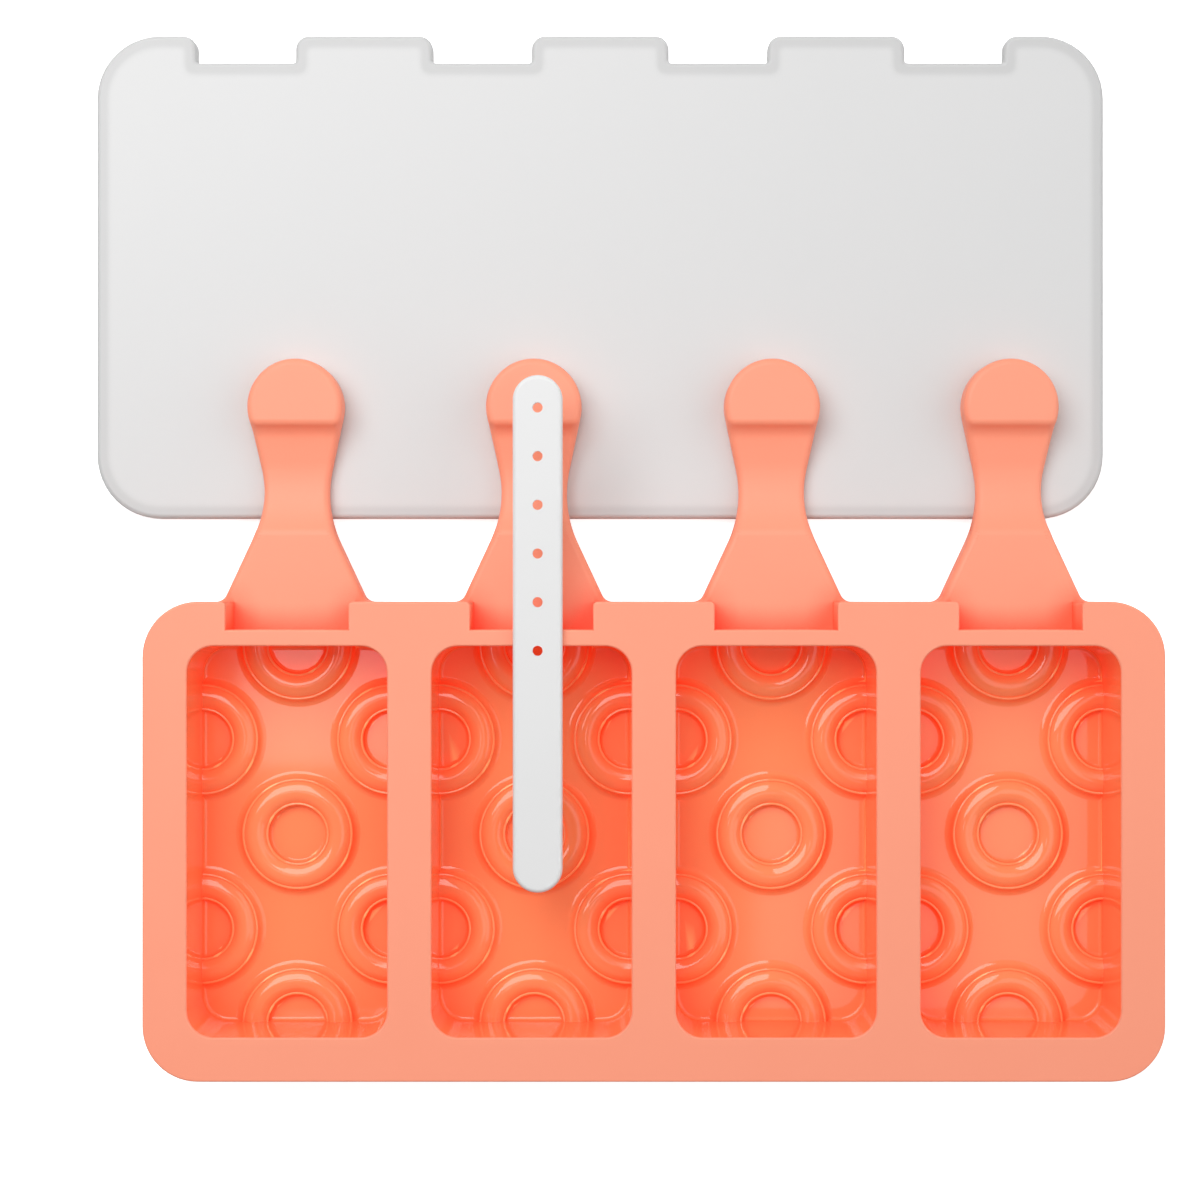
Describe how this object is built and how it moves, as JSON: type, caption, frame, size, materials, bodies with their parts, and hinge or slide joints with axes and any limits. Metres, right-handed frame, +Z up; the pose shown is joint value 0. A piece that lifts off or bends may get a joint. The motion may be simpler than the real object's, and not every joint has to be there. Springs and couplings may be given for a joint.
{
  "type": "ice pop mold",
  "caption": "Shallow silicone ice pop mold: side-by-side rounded cavities with raised floor rings and waisted stick handles, with its frosted press-on lid and a flat stick.",
  "frame": {"origin": "centre of the mold frame's flat underside, which lies on the table", "axes": "+X to the right along the row of cavities, +Y from the frame towards the handles, +Z up out of the cavities"},
  "size_m": [0.24, 0.2354, 0.0272],
  "materials": {
    "silicone": "coral silicone: satin on the rim and handles, glossy inside the cavities",
    "frosted_plastic": "frosted milky translucent plastic, softly matte",
    "white_plastic": "plain white plastic with a soft sheen"
  },
  "bodies": {
    "root": {"mold_body": "silicone", "lid": "frosted_plastic", "stick": "white_plastic"}
  },
  "joints": []
}
